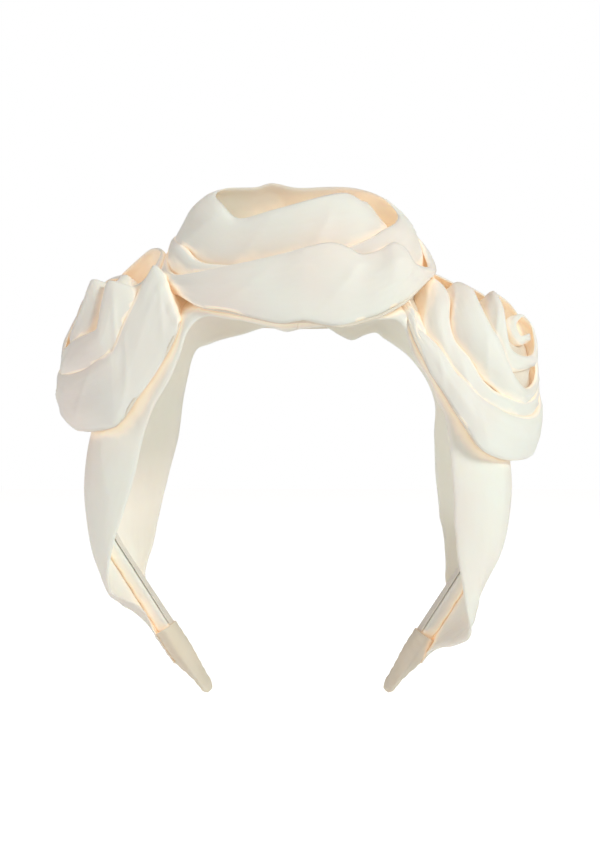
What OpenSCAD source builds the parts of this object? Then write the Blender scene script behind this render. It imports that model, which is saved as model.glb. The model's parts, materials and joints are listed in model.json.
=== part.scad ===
// Satin headband with three coiled knots on a springy plastic hoop, standing as it is worn.
// Origin: middle of the head side of the hoop's crown. +Z is up, -Y is the front, +X the right arm.
// The one-piece hoop flexes at each shoulder. Each flexure is a hinge here, so every layer is
// parted there by a narrow wedge, and the pieces past it belong to that arm.

/* [Hoop] */
// Inside radius of the hoop over the crown
crown_r = 67; // [64:1:70]
// Inside radius of the bend above each straight end
bend_r = 40; // [34:1:46]
// Angle in degrees that each straight end leans inwards
lean = 33; // [28:1:36]
// Length of each straight end
end_len = 56; // [50:1:60]
// Thickness of the plastic hoop
hoop_t = 1.5; // [1.2:0.1:1.8]
// Width of the hoop over the crown
hoop_w = 20; // [16:1:22]
// Width of the hoop at its tips
tip_w = 9; // [8:1:11]
// Angle in degrees that each tip turns its head side forwards
tip_turn = 10; // [0:1:12]

/* [Padding and wrap] */
// Thickness of the felt padding on the outside of the hoop
pad_t = 1.5; // [1:0.1:2]
// Thickness of the satin wrapped round the hoop and felt
wrap_t = 0.4; // [0.3:0.05:0.5]
// Thickness of the ribbon lining
lining_t = 0.3; // [0.2:0.05:0.4]
// Thickness of the glue line between two layers
glue = 0.1; // [0.08:0.01:0.12]

/* [Cover] */
// Half of the cover's width, from the middle of the hoop to its front or back edge
cover_half = 29; // [26:1:31]
// Thickness of the folded satin of the cover
cover_t = 1.2; // [0.9:0.1:1.4]
// How far the cover's edges curl inwards over the crown
crown_curl = 13; // [9:1:14]
// How far the cover's edges curl inwards at the arms
arm_curl = 21; // [14:1:22]

/* [Tip caps] */
// Length of the satin cap on each tip
cap_len = 25; // [20:1:28]
// Thickness of the cap's satin
cap_t = 0.5; // [0.4:0.05:0.6]

/* [Knots] */
// Height of the middle knot's inner turn above the hoop
middle_top = 36; // [32:1:38]
// How far the middle knot hangs below the crown in front and behind
middle_hang = 13; // [8:1:15]
// Half of the middle knot's length from side to side
middle_half = 45.5; // [42:0.5:47]
// Depth of the middle knot against its length
middle_round = 0.87; // [0.82:0.01:0.9]
// Angle in degrees from the crown to the left knot
left_at = 49; // [47:1:52]
// Angle in degrees from the crown to the right knot
right_at = 59; // [56:1:61]
// Half of a side knot's length along the hoop
side_half = 31; // [28:1:32]
// Height of a side knot above the cover
side_top = 18; // [16:1:20]

/* [Flexure] */
// Angle in degrees from the crown to each shoulder flexure
flex_at = 30; // [29:1:31]

/* [Hidden] */
$fn = 96;

plastic = "lightgray";
felt = "oldlace";
satin = "ivory";
cap_satin = "bisque";
ribbon = "floralwhite";
thread = "antiquewhite";

// Lengths along the hoop from the middle of the crown to the end of each stretch
crown_end = crown_r * PI / 2;
bend_end = crown_end + bend_r * lean * PI / 180;
hoop_end = bend_end + end_len;
flex_s = crown_r * flex_at * PI / 180;
pad_end = bend_end + 4;
cap_start = hoop_end - cap_len;
station = 4;

// Distance of each layer from the head side of the lining
wrap_in = lining_t + glue;
hoop_in = wrap_in + wrap_t + glue;
hoop_out = hoop_in + hoop_t;
pad_in = hoop_out + glue;
pivot_d = hoop_in + hoop_t / 2;

// The wedge that parts the layers at a flexure: its slot on the axis, and in degrees how far its
// crown side and its arm side lean away outside the hoop, and both of them inside it
wedge_slot = 0.5;
wedge_crown_side = 3.5;
wedge_arm_side = 10;
wedge_inside = 3;
far = 160;
arm_start = flex_s + 0.1;

function clamp01(t) = max(0, min(1, t));
function smooth(t) = let (c = clamp01(t)) c * c * (3 - 2 * c);
function mix(a, b, t) = a + (b - a) * t;

// Direction in degrees, from +Z towards +X, that the outside of the hoop faces at length s
function facing(s) = s < crown_end ? s / crown_r * 180 / PI
    : 90 + min(lean, (s - crown_end) / bend_r * 180 / PI);

// Point [x, z] on the head side of the hoop at length s
function hoop_point(s) = let (a = facing(s), bend_x = crown_r - bend_r)
    s < crown_end ? [crown_r * sin(a), crown_r * (cos(a) - 1)]
    : [bend_x + bend_r * sin(a), bend_r * cos(a) - crown_r]
      + max(0, s - bend_end) * [-sin(lean), -cos(lean)];

function turn(s) = tip_turn * smooth((s - bend_end) / end_len);

// Point in space at length s along the hoop, y across it and d out from its head side
function at(s, y, d) = let (a = facing(s), t = turn(s), p = hoop_point(s),
                            out = d * cos(t) - y * sin(t))
    [p[0] + out * sin(a), y * cos(t) + d * sin(t), p[1] + out * cos(a)];

// Widths and thicknesses that change along the hoop
function hoop_half(s) = mix(hoop_w, tip_w, smooth((s - crown_end * 0.8) / (hoop_end - crown_end * 0.8))) / 2;
function pad_here(s) = mix(pad_t, 0.3, smooth((s - pad_end + 30) / 30));
function wrap_half(s) = hoop_half(s) + glue + wrap_t;
function wrap_out(s) = pad_in + pad_here(s) + glue + wrap_t;

// The cover is flat over the wrap. Past the flat its edges curl inwards, and near the tips they stand
// away outwards, before the whole cover narrows to go into the cap.
flat_more = 0.5;
function cover_flat(s) = wrap_half(s) + flat_more;
function cover_taper(s) = smooth((cap_start - 1 - s) / 34);
function cover_half_here(s) = mix(wrap_half(s), cover_half, cover_taper(s));
function edge_turn(s) = 1 - 1.2 * smooth((s - 102) / 42);
function cover_curl(s) = mix(crown_curl, arm_curl * edge_turn(s), smooth((s - flex_s) / 35)) * cover_taper(s);
function cover_in(s, y) = wrap_out(s) + glue
    - cover_curl(s) * pow(clamp01((abs(y) - cover_flat(s)) / (cover_half - cover_flat(s))), 1.5);

// Lengths where a layer of the arm has its rings, the same for all layers, so that none meets its neighbour
function stations(s1, s0 = arm_start) = [each [for (s = [s0:station:s1 - 0.5]) s], s1];
function box_ring(s, half, d0, d1) = [at(s, -half, d0), at(s, half, d0), at(s, half, d1), at(s, -half, d1)];
function cover_ring(s, rows = 6) = let (h = cover_half_here(s), f = min(h - 0.1, cover_flat(s)),
        ys = [each [for (i = [0:rows]) mix(-h, -f, i / rows)], each [for (i = [0:rows]) mix(f, h, i / rows)]])
    [each [for (y = ys) at(s, y, cover_in(s, y))],
     each [for (i = [len(ys) - 1:-1:0]) at(s, ys[i], cover_in(s, ys[i]) + cover_t)]];

// Closed skin through rings of points, each ring with the same number of points
module skin(rings) {
    n = len(rings[0]);
    m = len(rings);
    quads = [for (i = [0:m - 2], j = [0:n - 1]) let (k = (j + 1) % n)
             [i * n + j, (i + 1) * n + j, (i + 1) * n + k, i * n + k]];
    sides = [for (q = quads) each [[q[0], q[1], q[2]], [q[0], q[2], q[3]]]];
    first = [for (j = [0:n - 1]) j];
    last = [for (j = [n - 1:-1:0]) (m - 1) * n + j];
    polyhedron([for (r = rings) each r], [each sides, first, last], convexity = 8);
}

module along_y(depth) {
    rotate([90, 0, 0]) linear_extrude(depth, center = true) children();
}

module on_left() {
    mirror([1, 0, 0]) children();
}

// The flexure's axis runs along Y through this place, on the right
pivot = hoop_point(flex_s) + pivot_d * [sin(flex_at), cos(flex_at)];

// All that lies past one side of the right flexure's wedge, seen from the front: side is 1 for its arm
// side and -1 for its crown side
module past_wedge(side, outside) {
    edge = side * wedge_slot / 2;
    outer_x = edge + side * far * tan(outside);
    inner_x = edge + side * far * tan(wedge_inside);
    translate(pivot) rotate(-flex_at)
        polygon([[outer_x, far], [edge, 0], [inner_x, -far], [-side * far, -far], [-side * far, far]]);
}

module keep_off_arms() {
    difference() {
        children();
        for (side = [0, 1]) mirror([side, 0, 0]) along_y(far) past_wedge(-1, wedge_crown_side);
    }
}

module keep_off_crown() {
    difference() {
        children();
        along_y(far) past_wedge(1, wedge_arm_side);
    }
}

// Curved bar over the crown: half its width, and from d0 to d1 out from the head side
module crown_bar(half, d0, d1, angle = flex_at) {
    translate([0, 0, -crown_r]) rotate([90, 0, 0]) rotate([0, 0, 90 - angle])
        rotate_extrude(angle = 2 * angle, $fn = 180)
            translate([crown_r + d0, -half]) square([d1 - d0, 2 * half]);
}

module arm_bar(s1, d0, d1_of, half_of, s0 = arm_start) {
    skin([for (s = stations(s1, s0)) box_ring(s, half_of(s), d0, d1_of(s))]);
}

// Hoop, felt, wrap and lining
module hoop_crown() {
    color(plastic) keep_off_arms() crown_bar(hoop_half(0), hoop_in, hoop_out);
}

module hoop_arm() {
    color(plastic) keep_off_crown()
        arm_bar(hoop_end - 2, hoop_in, function (s) hoop_out, function (s) hoop_half(s));
}

module felt_pad_crown() {
    color(felt) keep_off_arms() crown_bar(hoop_half(0), pad_in, pad_in + pad_t);
}

module felt_pad_arm() {
    color(felt) keep_off_crown()
        arm_bar(pad_end, pad_in, function (s) pad_in + pad_here(s), function (s) hoop_half(s));
}

module satin_wrap_crown() {
    color(satin) keep_off_arms() difference() {
        crown_bar(wrap_half(0), wrap_in, wrap_out(0));
        crown_bar(hoop_half(0) + glue, wrap_in + wrap_t, wrap_out(0) - wrap_t, flex_at + 2);
    }
}

module satin_wrap_arm() {
    color(satin) keep_off_crown() difference() {
        arm_bar(hoop_end - 1, wrap_in, function (s) wrap_out(s), function (s) wrap_half(s));
        arm_bar(hoop_end - 1.6, wrap_in + wrap_t, function (s) wrap_out(s) - wrap_t,
                function (s) hoop_half(s) + glue, arm_start - station);
    }
}

module ribbon_lining_crown() {
    color(ribbon) keep_off_arms() crown_bar(hoop_half(0) - 1.5, 0, lining_t);
}

module ribbon_lining_arm() {
    color(ribbon) keep_off_crown()
        arm_bar(hoop_end - 4, 0, function (s) lining_t, function (s) hoop_half(s) - 1);
}

// Wide satin cover, in three panels that end under the side knots
module cover_crown() {
    color(satin) keep_off_arms() skin([for (a = [-flex_at:4:flex_at]) let (s = abs(a) / 180 * PI * crown_r)
        [for (p = cover_ring(s)) [sign(a) < 0 ? -p[0] : p[0], p[1], p[2]]]]);
}

module cover_arm() {
    color(satin) keep_off_crown() skin([for (s = stations(hoop_end - 6)) cover_ring(s)]);
}

// Cap of folded satin closed over a tip, with the wrap, lining and cover inside it
module tip_cap_arm() {
    inner_half = function (s) wrap_half(s) + 0.3;
    inner_out = function (s) wrap_out(s) + cover_t + 3 * glue;
    wall = function (s, more) box_ring(s, inner_half(s) + more, -glue - more, inner_out(s) + more);
    color(cap_satin) difference() {
        skin([each [for (s = stations(hoop_end - 1, cap_start)) wall(s, cap_t)], wall(hoop_end + 0.6, 0)]);
        skin([for (s = stations(hoop_end - 0.6, cap_start - station)) wall(s, 0)]);
    }
}

// Oval ring or button turned from a profile of [radius, height] points. A seated one bends over the
// hoop: its foot follows the seat's curve, and the rest of it drops half as far.
module coil(profile, ratio = 1, seated = false) {
    steps = 36;
    seat_r = crown_r + coil_d;
    share = function (height) !seated ? 0 : height > foot ? 0.5 : 1;
    drop = function (x, height) share(height) * (seat_r - sqrt(seat_r * seat_r - x * x));
    solid = profile[0][0] == 0;
    body = solid ? [for (i = [1:len(profile) - 2]) profile[i]] : profile;
    n = len(body);
    points = [for (i = [0:steps - 1], p = body) let (a = 360 * i / steps, x = p[0] * cos(a))
              [x, p[0] * ratio * sin(a), p[1] - drop(x, p[1])]];
    reach = solid ? n - 2 : n - 1;
    quads = [for (i = [0:steps - 1], j = [0:reach]) let (k = (j + 1) % n, e = (i + 1) % steps)
             [i * n + j, i * n + k, e * n + k, e * n + j]];
    walls = [for (q = quads) each [[q[0], q[1], q[2]], [q[0], q[2], q[3]]]];
    low = len(points);
    ends = !solid ? [] : [for (i = [0:steps - 1]) let (e = (i + 1) % steps)
        each [[low, i * n, e * n], [low + 1, e * n + n - 1, i * n + n - 1]]];
    poles = solid ? [[0, 0, profile[0][1]], [0, 0, profile[len(profile) - 1][1]]] : [];
    polyhedron([each points, each poles], [each walls, each ends], convexity = 6);
}

// Distances of a knot's felt backing and of its coils from the head side of the lining
backing_t = 1;
thread_r = 0.4;
foot = 0.3;
seat_d = wrap_out(0) + glue + cover_t + glue;
coil_d = seat_d + backing_t + glue;

module hoop_drum(d, half = far) {
    along_y(2 * half) translate([0, -crown_r]) circle(crown_r + d, $fn = 180);
}

module felt_backing(half, span) {
    color(felt) crown_bar(half, seat_d, seat_d + backing_t, span);
}

module about_crown(angle) {
    translate([0, 0, -crown_r]) rotate([0, angle, 0]) translate([0, 0, crown_r]) children();
}

// Tacking threads that sew a coil down through its backing and the cover
module tacks(angles, half) {
    color(thread) for (a = angles, y = [-half, half])
        about_crown(a) translate([0, y, seat_d - cover_t - glue / 2])
            cylinder(h = cover_t + backing_t + 4, r = thread_r, $fn = 24);
}

// Middle knot, which saddles the crown and hangs over its front and back edges
module middle_knot_backing() {
    felt_backing(15, 20);
}

module over_crown() {
    difference() {
        children();
        hoop_drum(coil_d, cover_half + 1.5);
    }
}

module middle_knot_outer_coil() {
    r = middle_half;
    color(satin) keep_off_arms() over_crown()
        coil([[26.5, -2], [34, -middle_hang + 2], [r - 5, -middle_hang], [r - 1.5, -4], [r, 6], [r - 2, 15],
              [r - 7, 21], [r - 13, 23], [28.5, 17], [27, 8]], middle_round);
}

module middle_knot_inner_coil() {
    color(satin) over_crown()
        coil([[13.5, -3], [26, -3], [26.5, 8], [27.9, 17.5], [30, 25], [27, 32], [22, middle_top],
              [17, 32], [14.5, 22]], middle_round);
}

module middle_knot_bud() {
    color(satin) over_crown()
        coil([[0, -3], [13, -3], [13.5, 14], [13.5, 22], [11, 28], [6, 30], [0, 30.5]], middle_round);
}

module middle_knot_stitches() {
    tacks([-12, 0, 12], 11);
}

// Side knot, with its middle at this angle from the crown
module on_arm(angle) {
    keep_off_crown() about_crown(angle) translate([0, 0, coil_d]) children();
}

module side_knot_outer_coil(angle) {
    r = side_half;
    h = side_top;
    color(satin) on_arm(angle)
        coil([[16, foot], [r - 3, foot], [r, 5], [r - 1, 10], [r - 5, h - 4], [r - 10, h - 2], [18, 9]],
             seated = true);
}

module side_knot_inner_coil(angle) {
    h = side_top;
    color(satin) on_arm(angle)
        coil([[8, foot], [15.5, foot], [17.5, 9], [19.5, h - 2], [16, h], [12, h - 1.5], [9, 9]],
             seated = true);
}

module side_knot_bud(angle) {
    h = side_top;
    color(satin) on_arm(angle)
        coil([[0, foot], [7.5, foot], [8.4, 9], [9, h - 5], [6.5, h - 1], [0, h]], seated = true);
}

module side_knot_backing(angle) {
    about_crown(angle) felt_backing(13, 15);
}

module side_knot_stitches(angle) {
    tacks([angle - 9, angle, angle + 9], 9);
}

hoop_crown();
on_left() hoop_arm();  // hoop_left_arm
hoop_arm();  // hoop_right_arm
felt_pad_crown();
on_left() felt_pad_arm();  // felt_pad_left
felt_pad_arm();  // felt_pad_right
satin_wrap_crown();
on_left() satin_wrap_arm();  // satin_wrap_left
satin_wrap_arm();  // satin_wrap_right
ribbon_lining_crown();
on_left() ribbon_lining_arm();  // ribbon_lining_left
ribbon_lining_arm();  // ribbon_lining_right
cover_crown();
on_left() cover_arm();  // cover_left
cover_arm();  // cover_right
on_left() tip_cap_arm();  // tip_cap_left
tip_cap_arm();  // tip_cap_right
middle_knot_backing();
middle_knot_outer_coil();
middle_knot_inner_coil();
middle_knot_bud();
middle_knot_stitches();
on_left() side_knot_backing(left_at);  // left_knot_backing
on_left() side_knot_outer_coil(left_at);  // left_knot_outer_coil
on_left() side_knot_inner_coil(left_at);  // left_knot_inner_coil
on_left() side_knot_bud(left_at);  // left_knot_bud
on_left() side_knot_stitches(left_at);  // left_knot_stitches
side_knot_backing(right_at);  // right_knot_backing
side_knot_outer_coil(right_at);  // right_knot_outer_coil
side_knot_inner_coil(right_at);  // right_knot_inner_coil
side_knot_bud(right_at);  // right_knot_bud
side_knot_stitches(right_at);  // right_knot_stitches
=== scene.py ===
# Satin headband with three coiled knots, in the row frame: Z up, the front towards -Y, metres.
import json
import math

import bmesh
import bpy
import numpy as np
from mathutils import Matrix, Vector
from mathutils.bvhtree import BVHTree

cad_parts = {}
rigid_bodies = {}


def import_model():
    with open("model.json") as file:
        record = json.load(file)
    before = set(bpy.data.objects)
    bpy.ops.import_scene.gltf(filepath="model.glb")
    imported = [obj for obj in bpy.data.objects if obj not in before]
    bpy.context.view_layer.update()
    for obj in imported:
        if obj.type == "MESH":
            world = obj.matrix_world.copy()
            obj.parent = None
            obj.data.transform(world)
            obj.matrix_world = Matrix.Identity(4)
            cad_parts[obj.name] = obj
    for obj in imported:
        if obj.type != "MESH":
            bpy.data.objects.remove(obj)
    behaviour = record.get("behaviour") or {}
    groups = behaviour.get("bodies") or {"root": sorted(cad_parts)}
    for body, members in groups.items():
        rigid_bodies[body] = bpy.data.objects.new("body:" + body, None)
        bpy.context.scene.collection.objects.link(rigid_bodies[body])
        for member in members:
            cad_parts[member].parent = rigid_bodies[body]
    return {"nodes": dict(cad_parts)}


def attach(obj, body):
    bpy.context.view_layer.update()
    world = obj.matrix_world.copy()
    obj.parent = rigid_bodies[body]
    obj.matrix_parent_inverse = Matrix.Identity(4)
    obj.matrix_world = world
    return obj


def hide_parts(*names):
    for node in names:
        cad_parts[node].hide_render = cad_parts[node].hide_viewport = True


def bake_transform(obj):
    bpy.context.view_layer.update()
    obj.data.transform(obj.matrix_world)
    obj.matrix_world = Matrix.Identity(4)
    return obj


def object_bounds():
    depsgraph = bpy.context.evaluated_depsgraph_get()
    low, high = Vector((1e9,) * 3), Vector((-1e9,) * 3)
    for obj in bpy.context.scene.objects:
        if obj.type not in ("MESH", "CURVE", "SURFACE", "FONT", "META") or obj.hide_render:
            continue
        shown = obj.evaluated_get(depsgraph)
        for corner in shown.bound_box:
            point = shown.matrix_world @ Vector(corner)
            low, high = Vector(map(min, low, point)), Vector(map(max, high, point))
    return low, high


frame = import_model()
cad_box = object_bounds()
nodes = frame["nodes"]

# ---- Hoop ----
# The springy core is one moulded strip of white plastic, bent to the head and thinner than a coin.
# It is hidden inside the wrap, and its three nodes are the crown and the two arms that flex.


def tree_of(material):
    material.use_nodes = True
    return material.node_tree.nodes, material.node_tree.links, material.node_tree.nodes["Principled BSDF"]


def dial(node, values):
    for label, value in values.items():
        node.inputs[label].default_value = value


def join(links, *pairs):
    """Links nodes. Each pair is a node, its output, the next node and its input."""
    for a, out, b, to in pairs:
        links.new(a.outputs[out], b.inputs[to])


def grained(name, kind, grain, dark, light, roughness, bump=None, sheen=0.0):
    """A material whose tone follows one texture, and its height too where bump gives (distance, strength)."""
    material = bpy.data.materials.new(name)
    made, links, shader = tree_of(material)
    where, texture, tone = made.new("ShaderNodeTexCoord"), made.new(kind), made.new("ShaderNodeValToRGB")
    dial(texture, grain)
    dial(shader, {"Roughness": roughness, "Sheen Weight": sheen})
    tone.color_ramp.elements[0].color, tone.color_ramp.elements[1].color = (*dark, 1), (*light, 1)
    join(links, (where, "Object", texture, "Vector"), (texture, "Fac", tone, "Fac"),
         (tone, "Color", shader, "Base Color"))
    if bump:
        relief = made.new("ShaderNodeBump")
        dial(relief, {"Distance": bump[0], "Strength": bump[1]})
        join(links, (texture, "Fac", relief, "Height"), (relief, "Normal", shader, "Normal"))
    return material


def finish_node(name, material):
    node = nodes[name]
    node.data.materials.clear()
    node.data.materials.append(material)


plastic = grained("moulded_plastic", "ShaderNodeTexNoise", {"Scale": 90, "Detail": 4}, (0.78, 0.77, 0.74),
                  (0.86, 0.85, 0.82), 0.38, bump=(0.0002, 0.3))
for name in ("hoop_crown", "hoop_left_arm", "hoop_right_arm"):
    finish_node(name, plastic)

# ---- Felt padding ----
# Strips of wool felt are cut to the hoop's width and glued along its outside to round it.
# The satin wrap covers them.
felt = grained("wool_felt", "ShaderNodeTexNoise", {"Scale": 1600, "Detail": 6, "Distortion": 1.5}, (0.80, 0.71, 0.58),
               (0.92, 0.86, 0.76), 0.95, bump=(0.0004, 0.7), sheen=0.4)
for name in ("felt_pad_crown", "felt_pad_left", "felt_pad_right"):
    finish_node(name, felt)

# ---- Satin wrap ----
# Ivory satin is wrapped round hoop and felt and glued on the head side. It is made here as two halves
# that meet in the middle of the crown.
# Lengths are in millimetres along and out from the hoop's head side, and become metres in the mesh.
MM = 0.001
crown_r, bend_r, lean, end_len = 67.0, 40.0, 33.0, 56.0
crown_end = crown_r * math.pi / 2
bend_end = crown_end + bend_r * math.radians(lean)
hoop_end = bend_end + end_len
hoop_w, tip_w, tip_turn, glue, wrap_t = 20.0, 9.0, 10.0, 0.1, 0.4
wrap_in, wrap_in_arm, pad_in, felt_t, plump = 0.4, 0.05, 2.5, 1.5, 0.5
arm_from, arm_over = 95, 25
wrap_end, ribbon_end = hoop_end - 8, hoop_end - 14
flex_x, flex_z, flex_turn, flex_reach = 34.325, -7.547, 30, 4


def smooth(t):
    """Rises softly from 0 to 1. smooth((s - a) / b) does so over b millimetres of the hoop, from a on."""
    t = min(1.0, max(0.0, t))
    return t * t * (3 - 2 * t)


def mix(a, b, t):
    return a + (b - a) * t


def facing(s):
    return s / crown_r if s < crown_end else math.pi / 2 + min(math.radians(lean), (s - crown_end) / bend_r)


def on_hoop(side, s, y, d):
    """Point at length s along the hoop, y across it and d out from its head side. side is -1 for the left arm."""
    a = facing(s)
    t = math.radians(tip_turn) * smooth((s - bend_end) / end_len)
    if s < crown_end:
        x, z = crown_r * math.sin(a), crown_r * (math.cos(a) - 1)
    else:
        past = max(0.0, s - bend_end)
        x = crown_r - bend_r + bend_r * math.sin(a) - past * math.sin(math.radians(lean))
        z = bend_r * math.cos(a) - crown_r - past * math.cos(math.radians(lean))
    out = d * math.cos(t) - y * math.sin(t)
    return side * (x + out * math.sin(a)), y * math.cos(t) + d * math.sin(t), z + out * math.cos(a)


def hoop_half(s):
    return mix(hoop_w, tip_w, smooth((s - crown_end * 0.8) / (hoop_end - crown_end * 0.8))) / 2


def wrap_half(s):
    return hoop_half(s) + glue + wrap_t


def wrap_out(s):
    """The wrap is fullest where the bend ends, and stays plump down to the caps."""
    full = plump * smooth((s - arm_from) / arm_over) * smooth((hoop_end - 6 - s) / 30)
    return pad_in + felt_t + glue + wrap_t + full


def wrap_low(s):
    """How far out from the hoop's head side the wrap begins: a little less along the arms."""
    return mix(wrap_in, wrap_in_arm, smooth((s - arm_from) / arm_over))


ring_counts = {}


def loft(name, rings, material, inside=None):
    """Closed skin through rings of points in millimetres, with a UV map in metres along and round the cloth."""
    rings = np.array(rings, float) * MM
    m, n = ring_counts[name] = rings.shape[:2]
    middle = rings.mean(1)
    along = np.concatenate([[0], np.cumsum(np.linalg.norm(np.diff(middle, axis=0), axis=1))])
    step = np.linalg.norm(np.diff(np.concatenate([rings, rings[:, :1]], 1), axis=1), axis=2).mean(0)
    round_it = np.concatenate([[0], np.cumsum(step)])
    verts = [tuple(p) for p in rings.reshape(-1, 3)] + [tuple(middle[0]), tuple(middle[-1])]
    first, last = m * n, m * n + 1
    faces, uvs = [], []
    for i in range(m - 1):
        for j in range(n):
            k = (j + 1) % n
            faces.append((i * n + j, i * n + k, (i + 1) * n + k, (i + 1) * n + j))
            uvs += [(along[i], round_it[j]), (along[i], round_it[j + 1]),
                    (along[i + 1], round_it[j + 1]), (along[i + 1], round_it[j])]
    for j in range(n):
        k = (j + 1) % n
        faces += [(first, k, j), (last, (m - 1) * n + j, (m - 1) * n + k)]
        uvs += [(0, round_it[j])] * 3 + [(along[-1], round_it[j])] * 3
    mesh = bpy.data.meshes.new(name)
    mesh.from_pydata(verts, [], faces)
    p = np.array(verts)
    t = np.array([f[:3] for f in faces] + [(f[0], f[2], f[3]) for f in faces if len(f) == 4])
    volume = (p[t[:, 0]] * np.cross(p[t[:, 1]], p[t[:, 2]])).sum()
    uv = mesh.uv_layers.new(name="cloth")
    uv.data.foreach_set("uv", np.array(uvs, np.float32).ravel())
    # Each point gets a fold depth for painted shade and glow, and the cover's inner face a painted glow amount.
    mesh.attributes.new("fold_shade_and_glow", "FLOAT", "POINT")
    if inside is not None:
        values = np.zeros(len(verts), np.float32)
        values[:m * n] = np.array(inside, np.float32).ravel()
        mesh.attributes.new("inside", "FLOAT", "POINT").data.foreach_set("value", values)
    if volume < 0:
        mesh.flip_normals()
    mesh.shade_smooth()
    mesh.materials.append(material)
    piece = bpy.data.objects.new(name, mesh)
    bpy.context.scene.collection.objects.link(piece)
    return piece


def cloth_group():
    """Colour, roughness and height of woven satin: threads, soft creases, a slow drift of tint, and painted shade in
    its folds.
    """
    g = bpy.data.node_groups.new("woven_satin", "ShaderNodeTree")
    for name, kind in (("Cloth", "NodeSocketVector"), ("Place", "NodeSocketVector"), ("Fold shade", "NodeSocketFloat"),
                       ("Light", "NodeSocketColor"), ("Tint", "NodeSocketColor"), ("Shade and slub colour", "NodeSocketColor"),
                       ("Crease", "NodeSocketFloat")):
        g.interface.new_socket(name=name, in_out="INPUT", socket_type=kind)
    for name, kind in (("Color", "NodeSocketColor"), ("Roughness", "NodeSocketFloat"), ("Height", "NodeSocketFloat")):
        g.interface.new_socket(name=name, in_out="OUTPUT", socket_type=kind)
    add, link = g.nodes.new, g.links.new
    given, put = add("NodeGroupInput"), add("NodeGroupOutput")

    def noise(source, scale, size, detail):
        m, t = add("ShaderNodeMapping"), add("ShaderNodeTexNoise")
        m.inputs["Scale"].default_value = scale
        t.inputs["Scale"].default_value, t.inputs["Detail"].default_value = size, detail
        link(given.outputs[source], m.inputs["Vector"])
        link(m.outputs["Vector"], t.inputs["Vector"])
        return t.outputs["Fac"]

    def calc(op, a, b):
        c = add("ShaderNodeMath")
        c.operation = op
        for i, v in ((0, a), (1, b)):
            if isinstance(v, (int, float)):
                c.inputs[i].default_value = v
            else:
                link(v, c.inputs[i])
        return c.outputs[0]

    def blend_of(amount, a, b):
        c = add("ShaderNodeMix")
        c.data_type = "RGBA"
        for socket, v in ((0, amount), (6, a), (7, b)):
            link(v, c.inputs[socket])
        return c.outputs[2]

    threads = noise("Cloth", (120, 5200, 1), 1, 2)
    across = noise("Cloth", (3600, 240, 1), 1, 1)
    slubs = noise("Cloth", (60, 900, 1), 1, 3)
    crease = noise("Cloth", (30, 75, 1), 1, 3)
    drift = noise("Place", (1, 1, 1), 26, 2)
    ramp = add("ShaderNodeValToRGB")
    ramp.color_ramp.elements[0].position, ramp.color_ramp.elements[1].position = 0.38, 0.64
    link(drift, ramp.inputs["Fac"])
    tinted = blend_of(ramp.outputs["Color"], given.outputs["Light"], given.outputs["Tint"])
    # Painted shade: the colour turns towards a warm darker colour where the cloth lies between its own layers.
    shade_amount = calc("MULTIPLY", calc("POWER", given.outputs["Fold shade"], 1.25), 0.9)
    shade_tone = blend_of(shade_amount, tinted, given.outputs["Shade and slub colour"])
    dull = add("ShaderNodeMix")
    dull.data_type, dull.blend_type = "RGBA", "MULTIPLY"
    link(calc("MULTIPLY", slubs, 0.08), dull.inputs[0])
    link(shade_tone, dull.inputs[6])
    link(given.outputs["Shade and slub colour"], dull.inputs[7])
    link(dull.outputs[2], put.inputs["Color"])
    rough = calc("ADD", calc("MULTIPLY", slubs, 0.16), calc("MULTIPLY", crease, 0.1))
    link(calc("ADD", rough, 0.37), put.inputs["Roughness"])
    fine = calc("ADD", calc("MULTIPLY", threads, 0.05), calc("MULTIPLY", across, 0.03))
    soft = calc("MULTIPLY", crease, given.outputs["Crease"])
    link(calc("ADD", calc("ADD", fine, calc("MULTIPLY", slubs, 0.05)), soft), put.inputs["Height"])
    return g


woven = cloth_group()


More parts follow.
